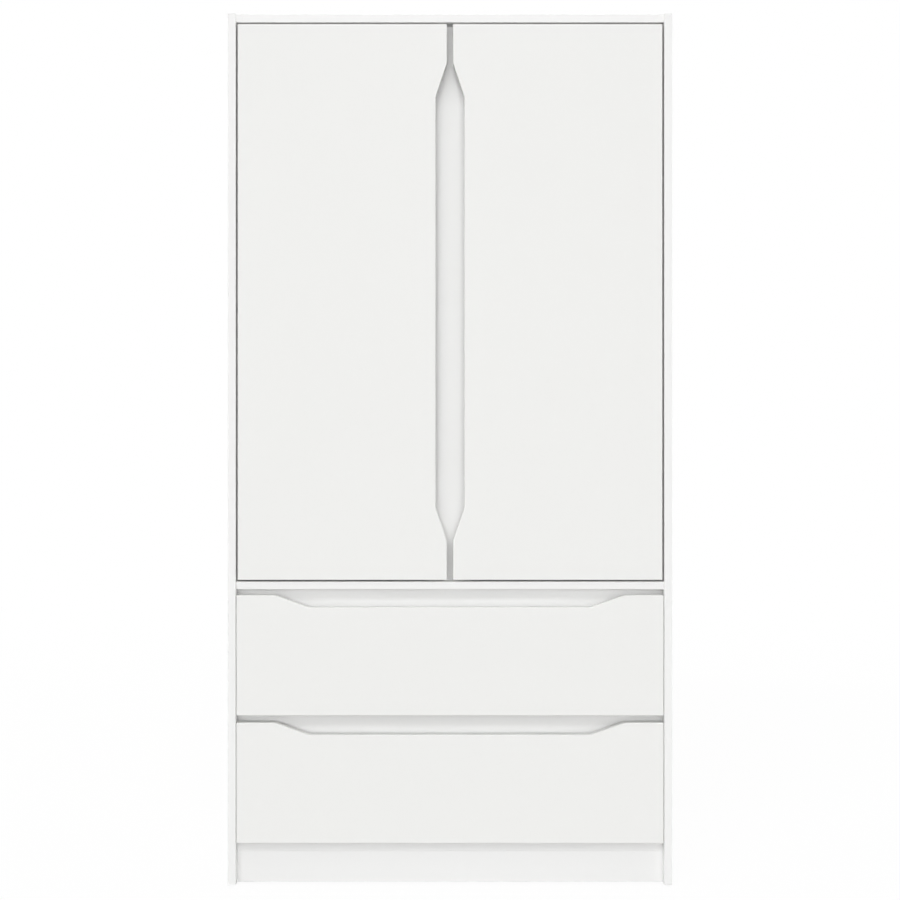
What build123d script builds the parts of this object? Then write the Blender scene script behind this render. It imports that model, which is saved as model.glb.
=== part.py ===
"""White wardrobe: two hinged doors above two drawers, in a board carcass on a plinth.

Millimetres. The origin lies on the floor under the middle of the carcass. +Z is up, +X is to the
right of someone who faces the doors, and the front faces -Y. Left-hand pieces are modelled and
mirrored to the right.
"""

import math
import os

from build123d import *

# Driving dimensions: the carcass
WIDTH = 900.0
DEPTH = 500.0
HEIGHT = 1768.0
BOARD = 16.0
EDGE_ROUND = 1.0
PANEL_SETBACK = 6.0  # front edges of the top panel and the middle shelf, behind the sides' front
PLINTH_HEIGHT = 63.0
PLINTH_SETBACK = 21.0
REAR_RAIL_INSET = 30.0
GLIDE_HEIGHT = 3.0
GLIDE_RADIUS = 7.0
GLIDE_CHAMFER = 0.8
GLIDE_INSET = 30.0  # from the front and rear ends of a side

# Driving dimensions: the back, in two halves that meet in a T strip
BACK_BOARD = 3.0
BACK_INSET = 2.0
STRIP_WIDTH = 24.0
STRIP_FLANGE = 1.0
STRIP_WEB = 1.2

# Driving dimensions: doors and drawer fronts
FRONT_BOARD = 16.0
FRONT_SETBACK = 1.0
FRONT_CORNER = 2.0
DOOR_SIDE_GAP = 3.5
DOOR_TOP_GAP = 5.0
DOOR_BOTTOM_GAP = 3.5
DOOR_SLOT = 12.5
DOOR_GRIP_DEPTH = 23.0
GRIP_END = 79.0  # plain edge between the end of a front and the start of its grip
GRIP_TAPER = 68.0
GRIP_ROUND = 16.0
DRAWER_FRONT_HEIGHT = 244.0
DRAWER_SIDE_GAP = 1.0
DRAWER_BOTTOM_GAP = 5.0
DRAWER_MIDDLE_GAP = 14.5
DRAWER_TOP_GAP = 11.5
DRAWER_GRIP_DEPTH = 24.5

# Driving dimensions: the stile and rails that close the grips from behind
FINGER_GAP = 15.0
STILE_LAP = 16.0
RAIL_LAP = 11.5

# Driving dimensions: drawer boxes and their telescopic slides
BOX_SIDE = 12.0
BOX_BOTTOM = 3.0
BOX_BOTTOM_LIFT = 10.0
BOX_GROOVE = 6.0
BOX_PLAY = 0.2
BOX_REAR_GAP = 29.0
BOX_CLEARANCE_BELOW = 6.5  # between the lower rail and the box above it
BOX_CLEARANCE_ABOVE = 24.0  # between a box and the rail above it
SLIDE_WIDTH = 12.7
SLIDE_HEIGHT = 45.0
SLIDE_LIFT = 58.0  # slide's middle line above the box's lower edge
SLIDE_STEEL = 1.2
SLIDE_PLAY = 0.5
SLIDE_LIP = 2.0
SLIDE_FRONT_GAP = 3.0
SLIDE_MIDDLE_SHORT = 20.0

# Driving dimensions: concealed hinges, with one pivot in a cup let into the door
HINGE_INSET = 100.0  # outer hinges, from the door's ends
CUP_RADIUS = 17.5
CUP_WALL = 0.8
CUP_COVER = 3.5  # board left in front of a cup
CUP_EDGE = 22.5  # cup centre from the door's outer edge
CUP_FIT = 0.05
CUP_FLANGE = 1.2
CUP_FLANGE_RIM = 2.5  # flange beyond the cup, across the door
CUP_FLANGE_LENGTH = 62.0
CUP_FLANGE_CHAMFER = 11.0
PIN_RADIUS = 2.0
PIN_LENGTH = 29.0
PIN_EDGE = 26.0  # pin from the door's outer edge
PIN_LIFT = 5.0  # pin above the outside of the cup's floor
PIN_CLEARANCE = 0.05
LUG_WIDTH = 8.0
ARM_STEEL = 3.0
ARM_WIDTH = 10.0
ARM_PLAY = 0.6
ARM_LENGTH = 40.0
ARM_BEND = 6.0
EYE_RADIUS = 3.6
SWEEP_CLEARANCE = 3.0  # between the arm and the circle that the door's corner sweeps
PLATE_STEEL = 2.0
PLATE_START = 6.0  # plate's front edge behind the arm's cross run
PLATE_SEAT_WIDTH = 14.0
PLATE_WING_LENGTH = 48.0
PLATE_WING_WIDTH = 15.0
PLATE_CORNER = 3.0

# Driving dimensions: hat shelf and hanging rail
HAT_SHELF_DROP = 240.0
HAT_SHELF_FRONT_GAP = 12.0
HAT_SHELF_PLAY = 1.0
SHELF_PIN_RADIUS = 2.5
SHELF_PIN_REACH = 10.0
SHELF_PIN_SEAT = 8.0
SHELF_PIN_INSET = 60.0
SHELF_PIN_FIT = 0.05
HANGER_DROP = 60.0  # middle of the hanging rail under the hat shelf
HANGER_Y = 20.0
HANGER_HEIGHT = 30.0
HANGER_WIDTH = 15.0
HANGER_WALL = 1.2
SOCKET_BASE = 3.0
SOCKET_DEPTH = 14.0
SOCKET_WALL = 2.0
SOCKET_FLANGE = 7.0
SOCKET_PLAY = 0.1

# Planes and levels that follow from them
FRONT = -DEPTH / 2
REAR = DEPTH / 2 - STRIP_FLANGE - BACK_BOARD
SIDE_FACE = WIDTH / 2 - BOARD
FRONT_FACE = FRONT + FRONT_SETBACK
FRONT_BACK = FRONT_FACE + FRONT_BOARD
BACKING_FACE = FRONT_BACK + FINGER_GAP
BACKING_BACK = BACKING_FACE + BOARD

BOTTOM_Z = GLIDE_HEIGHT + PLINTH_HEIGHT
LOWER_FRONT_Z = BOTTOM_Z + BOARD + DRAWER_BOTTOM_GAP
UPPER_FRONT_Z = LOWER_FRONT_Z + DRAWER_FRONT_HEIGHT + DRAWER_MIDDLE_GAP
SHELF_Z = UPPER_FRONT_Z + DRAWER_FRONT_HEIGHT + DRAWER_TOP_GAP
TOP_Z = HEIGHT - BOARD
DOOR_LOW = SHELF_Z + BOARD + DOOR_BOTTOM_GAP
DOOR_HIGH = TOP_Z - DOOR_TOP_GAP
DOOR_OUTER = -SIDE_FACE + DOOR_SIDE_GAP
DOOR_INNER = -DOOR_SLOT / 2
HAT_SHELF_Z = TOP_Z - HAT_SHELF_DROP - BOARD

RAIL_BELOW_FRONT_TOP = DRAWER_GRIP_DEPTH + RAIL_LAP
BOX_LIFT = RAIL_LAP + BOX_CLEARANCE_BELOW
BOX_HEIGHT = DRAWER_FRONT_HEIGHT - RAIL_BELOW_FRONT_TOP - BOX_CLEARANCE_ABOVE - BOX_LIFT
BOX_FACE = SIDE_FACE - SLIDE_WIDTH
BOX_INSIDE = BOX_FACE - BOX_SIDE
BOX_REAR = REAR - BOX_REAR_GAP

CUP_DEPTH = FRONT_BOARD - CUP_COVER
CUP_X = DOOR_OUTER + CUP_EDGE
PIN_X = DOOR_OUTER + PIN_EDGE
PIN_Y = FRONT_FACE + CUP_COVER + PIN_LIFT
HINGE_LEVELS = (DOOR_LOW + HINGE_INSET, (DOOR_LOW + DOOR_HIGH) / 2, DOOR_HIGH - HINGE_INSET)


def board(x_span, y_span, z_span):
    """A flat board between the ends of three spans."""
    sizes = [high - low for low, high in (x_span, y_span, z_span)]
    middle = [(high + low) / 2 for low, high in (x_span, y_span, z_span)]
    return Pos(*middle) * Box(*sizes)


def round_front(panel, along):
    """Round the front edges of a board that run along one axis."""
    front = panel.faces().sort_by(Axis.Y)[0]
    return fillet(front.edges().filter_by(along), EDGE_ROUND)


def to_right(piece):
    """The right-hand twin of a left-hand piece."""
    return mirror(piece, about=Plane.YZ)


def at_levels(piece, levels):
    """Copies of a piece modelled at z = 0, one at each level, in one node."""
    return Compound([solid for z in levels for solid in (Pos(0, 0, z) * piece).solids()])


def side_panel():
    """Left side, bored for the hat shelf's pins."""
    x_span = (-WIDTH / 2, -SIDE_FACE)
    panel = round_front(board(x_span, (FRONT, REAR), (GLIDE_HEIGHT, HEIGHT)), Axis.Z)
    for y in shelf_pin_rows():
        bore = Cylinder(SHELF_PIN_RADIUS + SHELF_PIN_FIT, 2 * (SHELF_PIN_SEAT + SHELF_PIN_FIT))
        panel -= Pos(-SIDE_FACE, y, HAT_SHELF_Z - SHELF_PIN_RADIUS) * Rot(Y=90) * bore
    return panel


def cross_panel(z, setback):
    """A board between the sides: the top panel, the middle shelf or the bottom panel."""
    panel = board((-SIDE_FACE, SIDE_FACE), (FRONT + setback, REAR), (z, z + BOARD))
    return round_front(panel, Axis.X)


def plinth():
    """Front plinth board, under the edge of the bottom panel."""
    y = FRONT + PLINTH_SETBACK
    return board((-SIDE_FACE, SIDE_FACE), (y, y + BOARD), (GLIDE_HEIGHT, BOTTOM_Z))


def rear_plinth_rail():
    """Board that carries the bottom panel at the rear."""
    y = REAR - REAR_RAIL_INSET
    return board((-SIDE_FACE, SIDE_FACE), (y - BOARD, y), (GLIDE_HEIGHT, BOTTOM_Z))


def centre_stile():
    """Upright that shows in the slot between the doors and closes their grip from behind."""
    half = DOOR_SLOT / 2 + DOOR_GRIP_DEPTH + STILE_LAP
    return board((-half, half), (BACKING_FACE, BACKING_BACK), (SHELF_Z + BOARD, TOP_Z))


def drawer_rail(z_span):
    """Rail between the sides that closes a drawer's grip from behind."""
    return board((-SIDE_FACE, SIDE_FACE), (BACKING_FACE, BACKING_BACK), z_span)


def back_half():
    """Left half of the hardboard back."""
    x_span = (-WIDTH / 2 + BACK_INSET, -STRIP_WEB / 2)
    return board(x_span, (REAR, REAR + BACK_BOARD), (BOTTOM_Z + BACK_INSET, HEIGHT - BACK_INSET))


def back_strip():
    """T strip that joins the two halves of the back."""
    behind = REAR + BACK_BOARD
    z_span = (BOTTOM_Z + BACK_INSET, HEIGHT - BACK_INSET)
    web = board((-STRIP_WEB / 2, STRIP_WEB / 2), (REAR, behind), z_span)
    flange_span = (-STRIP_WIDTH / 2, STRIP_WIDTH / 2)
    return web + board(flange_span, (behind, behind + STRIP_FLANGE), z_span)


def foot_glides():
    """Chamfered discs under the ends of both sides."""
    glide = Pos(0, 0, GLIDE_HEIGHT / 2) * Cylinder(GLIDE_RADIUS, GLIDE_HEIGHT)
    glide = chamfer(glide.edges().sort_by(Axis.Z)[0], GLIDE_CHAMFER)
    x = WIDTH / 2 - BOARD / 2
    spots = [(sx * x, y) for sx in (-1, 1) for y in (FRONT + GLIDE_INSET, REAR - GLIDE_INSET)]
    return Compound([solid for sx, y in spots for solid in (Pos(sx, y, 0) * glide).solids()])


def hat_shelf_span():
    """Front and rear edges of the hat shelf."""
    return BACKING_BACK + HAT_SHELF_FRONT_GAP, REAR


def shelf_pin_rows():
    """Distances along Y of the pins that carry the hat shelf."""
    front, rear = hat_shelf_span()
    return front + SHELF_PIN_INSET, rear - SHELF_PIN_INSET


def hat_shelf():
    """Loose shelf above the hanging rail."""
    half = SIDE_FACE - HAT_SHELF_PLAY
    panel = board((-half, half), hat_shelf_span(), (HAT_SHELF_Z, HAT_SHELF_Z + BOARD))
    return round_front(panel, Axis.X)


def shelf_pins():
    """Round pins in the sides, under the hat shelf."""
    length = SHELF_PIN_REACH + SHELF_PIN_SEAT
    x = SIDE_FACE + (SHELF_PIN_SEAT - SHELF_PIN_REACH) / 2
    pin = Rot(Y=90) * Cylinder(SHELF_PIN_RADIUS, length)
    z = HAT_SHELF_Z - SHELF_PIN_RADIUS
    spots = [Pos(sx * x, y, z) for sx in (-1, 1) for y in shelf_pin_rows()]
    return Compound([solid for spot in spots for solid in (spot * pin).solids()])


def oval(grow):
    """Section of the hanging rail in the YZ plane, grown all round by grow."""
    return SlotOverall(HANGER_HEIGHT + 2 * grow, HANGER_WIDTH + 2 * grow, rotation=90)


def hanger_plane(x):
    """Plane across the hanging rail at x, facing the right-hand side."""
    return Plane((x, HANGER_Y, HAT_SHELF_Z - HANGER_DROP), x_dir=(0, 1, 0), z_dir=(1, 0, 0))


def hanging_rail():
    """Oval tube between the sockets."""
    half = SIDE_FACE - SOCKET_BASE
    return extrude(hanger_plane(-half) * (oval(0) - oval(-HANGER_WALL)), 2 * half)


def rail_socket():
    """Left socket of the hanging rail: a base on the side and a rim round the tube."""
    inner = oval(SOCKET_PLAY)
    rim = oval(SOCKET_PLAY + SOCKET_WALL) - inner
    base = extrude(hanger_plane(-SIDE_FACE) * oval(SOCKET_FLANGE), SOCKET_BASE)
    return base + extrude(hanger_plane(-SIDE_FACE + SOCKET_BASE) * rim, SOCKET_DEPTH - SOCKET_BASE)


def front_panel(corners, radii):
    """A door or drawer front from its outline, with its front edges eased."""
    outline = make_face(FilletPolyline(*corners, radius=radii, close=True).edges())
    panel = extrude(Plane.XZ.offset(-FRONT_FACE) * outline, -FRONT_BOARD)
    face = panel.faces().sort_by(Axis.Y)[0]
    return chamfer(face.outer_wire().edges(), EDGE_ROUND)


def door():
    """Left door, with its grip in the meeting edge and bored for the hinge cups."""
    grip = DOOR_INNER - DOOR_GRIP_DEPTH
    low, high = DOOR_LOW + GRIP_END, DOOR_HIGH - GRIP_END
    corners = [
        (DOOR_OUTER, DOOR_LOW),
        (DOOR_INNER, DOOR_LOW),
        (DOOR_INNER, low),
        (grip, low + GRIP_TAPER),
        (grip, high - GRIP_TAPER),
        (DOOR_INNER, high),
        (DOOR_INNER, DOOR_HIGH),
        (DOOR_OUTER, DOOR_HIGH),
    ]
    radii = [FRONT_CORNER] * 2 + [GRIP_ROUND] * 4 + [FRONT_CORNER] * 2
    bore = Rot(X=90) * Cylinder(CUP_RADIUS + CUP_FIT, 2 * (CUP_DEPTH + CUP_FIT))
    panel = front_panel(corners, radii)
    for z in HINGE_LEVELS:
        panel -= Pos(CUP_X, FRONT_BACK, z) * bore
    return panel


def hinge_cup():
    """Pressed cup with a flange on the door's back and two lugs that hold the pin."""
    shell = Cylinder(CUP_RADIUS, CUP_DEPTH, align=(Align.CENTER, Align.CENTER, Align.MAX))
    flange = Rectangle(2 * (CUP_RADIUS + CUP_FLANGE_RIM), CUP_FLANGE_LENGTH)
    shell += extrude(chamfer(flange.vertices(), CUP_FLANGE_CHAMFER), CUP_FLANGE)
    inside = CUP_RADIUS - CUP_WALL
    depth = CUP_DEPTH - CUP_WALL
    hollow = Cylinder(inside, depth, align=(Align.CENTER, Align.CENTER, Align.MAX))
    mouth = Cylinder(inside, CUP_FLANGE, align=(Align.CENTER, Align.CENTER, Align.MIN))
    offset = PIN_X - CUP_X
    lug = Pos(offset, 0, 0) * Box(
        LUG_WIDTH, 2 * inside, depth, align=(Align.CENTER, Align.CENTER, Align.MAX)
    )
    slot = Box(2 * CUP_RADIUS, ARM_WIDTH + 2 * ARM_PLAY, 2 * depth)
    bore = Pos(offset, 0, PIN_LIFT - CUP_DEPTH) * Rot(X=90) * Cylinder(
        PIN_RADIUS + PIN_CLEARANCE, PIN_LENGTH + 2 * PIN_CLEARANCE
    )
    cup = shell - hollow - mouth + (lug & hollow) - (slot & hollow) - bore
    back_of_door = Plane((CUP_X, FRONT_BACK, 0), x_dir=(1, 0, 0), z_dir=(0, 1, 0))
    return back_of_door * cup


def hinge_pin():
    """Pivot pin across a cup."""
    return Pos(PIN_X, PIN_Y, 0) * Cylinder(PIN_RADIUS, PIN_LENGTH)


def arm_seat():
    """The arm's middle line on its plate, and its cross run, measured from the pin."""
    seat = PIN_EDGE + DOOR_SIDE_GAP - PLATE_STEEL - ARM_STEEL / 2
    sweep = math.hypot(PIN_EDGE, max(PIN_Y - FRONT_FACE, FRONT_BACK - PIN_Y))
    return seat, sweep + SWEEP_CLEARANCE + ARM_STEEL / 2


def hinge_arm():
    """Gooseneck strip from its seat on the plate, round the door's edge, to the pin."""
    seat, run = arm_seat()
    path = FilletPolyline(
        (-seat, run + ARM_LENGTH), (-seat, run), (run, run), (0, 0), radius=ARM_BEND
    )
    strip = extrude(trace(path, ARM_STEEL), ARM_WIDTH / 2, both=True)
    bore = Cylinder(PIN_RADIUS + PIN_CLEARANCE, 2 * ARM_WIDTH)
    return Pos(PIN_X, PIN_Y, 0) * (strip + Cylinder(EYE_RADIUS, ARM_WIDTH) - bore)


def hinge_plate():
    """Mounting plate on the left side: a seat for the arm and two screw wings."""
    run = arm_seat()[1]
    front = PIN_Y + run + PLATE_START
    rear = PIN_Y + run + ARM_LENGTH
    wing_y = front + PLATE_WING_WIDTH / 2
    seat = Pos((front + rear) / 2, 0) * Rectangle(rear - front, PLATE_SEAT_WIDTH)
    wings = Rectangle(PLATE_WING_WIDTH, PLATE_WING_LENGTH)
    wings = Pos(wing_y, 0) * chamfer(wings.vertices(), PLATE_CORNER)
    on_side = Plane((-SIDE_FACE, 0, 0), x_dir=(0, 1, 0), z_dir=(1, 0, 0))
    return extrude(on_side * (seat + wings), PLATE_STEEL)


def drawer_front(z):
    """Drawer front from z up, with its grip in the top edge and grooved for the bottom."""
    half = SIDE_FACE - DRAWER_SIDE_GAP
    top = z + DRAWER_FRONT_HEIGHT
    grip_start = half - GRIP_END
    grip_floor = grip_start - GRIP_TAPER
    right = [
        (half, z),
        (half, top),
        (grip_start, top),
        (grip_floor, top - DRAWER_GRIP_DEPTH),
    ]
    left = [(-x, level) for x, level in reversed(right)]
    radii = [FRONT_CORNER, FRONT_CORNER, GRIP_ROUND, GRIP_ROUND]
    panel = front_panel(right + left, radii + radii[::-1])
    groove_half = BOX_INSIDE + BOX_GROOVE
    return panel - board(
        (-groove_half, groove_half),
        (FRONT_BACK - BOX_GROOVE, FRONT_BACK),
        groove_span(z + BOX_LIFT),
    )


def groove_span(box_z):
    """Lower and upper faces of the groove for a box's bottom."""
    return box_z + BOX_BOTTOM_LIFT, box_z + BOX_BOTTOM_LIFT + BOX_BOTTOM + BOX_PLAY


def box_side(z):
    """Left side of a drawer box, grooved for the bottom."""
    panel = board((-BOX_FACE, -BOX_INSIDE), (FRONT_BACK, BOX_REAR), (z, z + BOX_HEIGHT))
    return panel - board(
        (-BOX_INSIDE - BOX_GROOVE, -BOX_INSIDE), (FRONT_BACK, BOX_REAR), groove_span(z)
    )


def box_back(z):
    """Back of a drawer box, which stands on the bottom."""
    low = z + BOX_BOTTOM_LIFT + BOX_BOTTOM
    return board((-BOX_INSIDE, BOX_INSIDE), (BOX_REAR - BOX_SIDE, BOX_REAR), (low, z + BOX_HEIGHT))


def box_bottom(z):
    """Hardboard bottom in the grooves of the front and the sides."""
    half = BOX_INSIDE + BOX_GROOVE - BOX_PLAY
    y_span = (FRONT_BACK - BOX_GROOVE + BOX_PLAY, BOX_REAR)
    low = z + BOX_BOTTOM_LIFT
    return board((-half, half), y_span, (low, low + BOX_BOTTOM))


def channel(web, tip, height, short):
    """C-section slide member for the left side: web and flange tips measured from the side."""
    low, high = -height / 2, height / 2
    inner = web + math.copysign(SLIDE_STEEL, tip - web)
    outline = Polyline(
        (web, low),
        (tip, low),
        (tip, low + SLIDE_STEEL),
        (inner, low + SLIDE_STEEL),
        (inner, high - SLIDE_STEEL),
        (tip, high - SLIDE_STEEL),
        (tip, high),
        (web, high),
        close=True,
    )
    start = FRONT_BACK + SLIDE_FRONT_GAP
    section = Plane.XZ.offset(-start) * Pos(-SIDE_FACE, 0) * make_face(outline)
    return extrude(section, start + short - BOX_REAR)


def slide_members():
    """Outer, middle and inner members of a left slide, one inside the other, at z = 0."""
    step = SLIDE_STEEL + SLIDE_PLAY
    tip = SLIDE_WIDTH - SLIDE_LIP
    return {
        "outer": channel(0, tip, SLIDE_HEIGHT, 0),
        "middle": channel(step, tip, SLIDE_HEIGHT - 2 * step, SLIDE_MIDDLE_SHORT),
        "inner": channel(SLIDE_WIDTH, 2 * step, SLIDE_HEIGHT - 4 * step, 0),
    }


def drawer_nodes(name, front_z):
    """Every node of one drawer: its front, its box and its two slides."""
    box_z = front_z + BOX_LIFT
    nodes = {
        f"{name}_front": drawer_front(front_z),
        f"{name}_left_side": box_side(box_z),
        f"{name}_right_side": to_right(box_side(box_z)),
        f"{name}_back": box_back(box_z),
        f"{name}_bottom": box_bottom(box_z),
    }
    for member, left in slide_members().items():
        left = Pos(0, 0, box_z + SLIDE_LIFT) * left
        nodes[f"{name}_left_slide_{member}"] = left
        nodes[f"{name}_right_slide_{member}"] = to_right(left)
    return nodes


def hinge_nodes():
    """Cups, pins, arms and plates of both doors, three of each to a node."""
    nodes = {}
    pieces = {"cups": hinge_cup, "pins": hinge_pin, "arms": hinge_arm, "plates": hinge_plate}
    for name, make in pieces.items():
        left = make()
        nodes[f"left_hinge_{name}"] = at_levels(left, HINGE_LEVELS)
        nodes[f"right_hinge_{name}"] = at_levels(to_right(left), HINGE_LEVELS)
    return nodes


def carcass_nodes():
    """Every node that stays still, apart from the hinges and slides."""
    upper_rail = (UPPER_FRONT_Z + DRAWER_FRONT_HEIGHT - RAIL_BELOW_FRONT_TOP, SHELF_Z)
    lower_rail = (
        LOWER_FRONT_Z + DRAWER_FRONT_HEIGHT - RAIL_BELOW_FRONT_TOP,
        UPPER_FRONT_Z + RAIL_LAP,
    )
    side = side_panel()
    half = back_half()
    socket = rail_socket()
    return {
        "left_side_panel": side,
        "right_side_panel": to_right(side),
        "top_panel": cross_panel(TOP_Z, PANEL_SETBACK),
        "middle_shelf": cross_panel(SHELF_Z, PANEL_SETBACK),
        "bottom_panel": cross_panel(BOTTOM_Z, PLINTH_SETBACK),
        "plinth": plinth(),
        "rear_plinth_rail": rear_plinth_rail(),
        "centre_stile": centre_stile(),
        "upper_drawer_rail": drawer_rail(upper_rail),
        "lower_drawer_rail": drawer_rail(lower_rail),
        "left_back_panel": half,
        "right_back_panel": to_right(half),
        "back_joint_strip": back_strip(),
        "foot_glides": foot_glides(),
        "hat_shelf": hat_shelf(),
        "shelf_pins": shelf_pins(),
        "hanging_rail": hanging_rail(),
        "rail_sockets": Compound(socket.solids() + to_right(socket).solids()),
    }


def main():
    """Write one STEP file for each node."""
    left_door = door()
    nodes = {
        **carcass_nodes(),
        "left_door": left_door,
        "right_door": to_right(left_door),
        **hinge_nodes(),
        **drawer_nodes("upper_drawer", UPPER_FRONT_Z),
        **drawer_nodes("lower_drawer", LOWER_FRONT_Z),
    }
    os.makedirs("parts", exist_ok=True)
    for name, piece in nodes.items():
        export_step(piece, f"parts/{name}.step")


main()
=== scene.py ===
"""White wardrobe with two doors and two drawers: its finishes, small fittings and studio.

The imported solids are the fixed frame, in metres: +Z is up and the front faces -Y.
"""

import logging
import math
from collections.abc import Iterable, Mapping
from dataclasses import dataclass
from enum import Enum

import bpy
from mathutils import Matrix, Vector

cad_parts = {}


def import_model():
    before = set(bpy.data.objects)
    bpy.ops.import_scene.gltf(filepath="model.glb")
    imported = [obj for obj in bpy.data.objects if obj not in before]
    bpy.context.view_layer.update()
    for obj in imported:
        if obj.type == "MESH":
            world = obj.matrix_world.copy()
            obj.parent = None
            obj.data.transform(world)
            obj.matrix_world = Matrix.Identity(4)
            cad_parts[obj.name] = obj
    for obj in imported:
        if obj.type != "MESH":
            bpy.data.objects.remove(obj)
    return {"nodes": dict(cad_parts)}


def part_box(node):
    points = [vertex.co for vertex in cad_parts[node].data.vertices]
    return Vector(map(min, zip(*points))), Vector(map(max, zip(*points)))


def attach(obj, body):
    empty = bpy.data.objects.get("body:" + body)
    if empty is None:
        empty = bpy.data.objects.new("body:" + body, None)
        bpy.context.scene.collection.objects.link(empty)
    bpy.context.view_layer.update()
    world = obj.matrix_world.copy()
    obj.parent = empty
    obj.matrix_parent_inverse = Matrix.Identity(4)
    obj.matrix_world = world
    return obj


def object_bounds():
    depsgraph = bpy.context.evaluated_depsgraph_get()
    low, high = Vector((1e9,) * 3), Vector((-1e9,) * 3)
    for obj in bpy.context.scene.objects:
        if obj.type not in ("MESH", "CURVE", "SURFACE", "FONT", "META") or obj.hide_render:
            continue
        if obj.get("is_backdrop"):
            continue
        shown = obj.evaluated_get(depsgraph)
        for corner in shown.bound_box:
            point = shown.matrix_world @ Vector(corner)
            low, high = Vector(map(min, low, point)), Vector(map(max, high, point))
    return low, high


LOG = logging.getLogger("wardrobe")
MM = 0.001
WHITE = "#FFFFFF"
FACING_ATTRIBUTE = "facing"
WAVE_UNIT = math.tau / 20  # scale at which a wave texture repeats once to the unit
FACTOR, COLOUR_A, COLOUR_B, COLOUR_OUT = 0, 6, 7, 2  # sockets of a colour mix, whose names repeat

Colour = tuple[float, float, float, float]
Point = tuple[float, float, float]


class Facing(Enum):
    """A direction that a fastener's head looks in."""

    LEFT = (-1.0, 0.0, 0.0)
    RIGHT = (1.0, 0.0, 0.0)
    BACK = (0.0, 1.0, 0.0)
    DOWN = (0.0, 0.0, -1.0)


class Side(Enum):
    """A side of the wardrobe, with the sign of its X."""

    LEFT = -1
    RIGHT = 1

    @property
    def word(self) -> str:
        """The side's name as the nodes spell it."""
        return self.name.lower()

    @property
    def inward(self) -> Facing:
        """The way from this side to the wardrobe's middle."""
        return Facing.RIGHT if self is Side.LEFT else Facing.LEFT

    @property
    def outward(self) -> Facing:
        """The way from the wardrobe's middle to this side."""
        return Facing.LEFT if self is Side.LEFT else Facing.RIGHT

    def inner_x(self, low: Vector, high: Vector) -> float:
        """X of a box's face that looks to the wardrobe's middle.

        Args:
            low: the box's lowest corner.
            high: the box's highest corner.

        Returns:
            The face's X.
        """
        return high.x if self is Side.LEFT else low.x


class Level(Enum):
    """A drawer's place in the stack."""

    UPPER = "upper_drawer"
    LOWER = "lower_drawer"


def linear(hex_colour: str) -> Colour:
    """Turn an sRGB hex colour to linear RGBA.

    Args:
        hex_colour: six hex digits, with or without a leading hash.

    Returns:
        The linear red, green and blue, with an alpha of 1.
    """
    digits = hex_colour.lstrip("#")
    shares = [int(digits[i : i + 2], 16) / 255 for i in (0, 2, 4)]
    red, green, blue = (s / 12.92 if s <= 0.04045 else ((s + 0.055) / 1.055) ** 2.4 for s in shares)
    return red, green, blue, 1.0


def per_metre(size_mm: float) -> float:
    """Texture scale, in repeats to the metre, of a pattern of this size in millimetres."""
    return 1.0 / (size_mm * MM)


def add(
    tree: bpy.types.NodeTree,
    kind: str,
    settings: Mapping[str, object] | None = None,
    inputs: Mapping[str | int, object] | None = None,
) -> bpy.types.Node:
    """Add a node, set its properties, and set or link its inputs.

    Args:
        tree: the node tree that gets the node.
        kind: the node's type name.
        settings: properties of the node.
        inputs: values by input name or index; an output socket, or a list of them, is linked.

    Returns:
        The new node.
    """
    node = tree.nodes.new(kind)
    for name, value in (settings or {}).items():
        setattr(node, name, value)
    for key, value in (inputs or {}).items():
        socket = node.inputs[key]
        sources = value if isinstance(value, list) else [value]
        if isinstance(sources[0], bpy.types.NodeSocket):
            for source in sources:
                tree.links.new(source, socket)
        else:
            socket.default_value = value
    return node


def blank_tree(owner: bpy.types.Material | bpy.types.World) -> bpy.types.NodeTree:
    """Give a material or a world an empty node tree.

    Args:
        owner: the material or the world.

    Returns:
        Its node tree, with no nodes.
    """
    owner.use_nodes = True
    owner.node_tree.nodes.clear()
    return owner.node_tree


def put(name: str, data: bpy.types.ID) -> bpy.types.Object:
    """Make an object and link it to the scene.

    Args:
        name: the object's name.
        data: its mesh, light or camera.

    Returns:
        The new object.
    """
    made = bpy.data.objects.new(name, data)
    bpy.context.scene.collection.objects.link(made)
    return made


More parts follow.
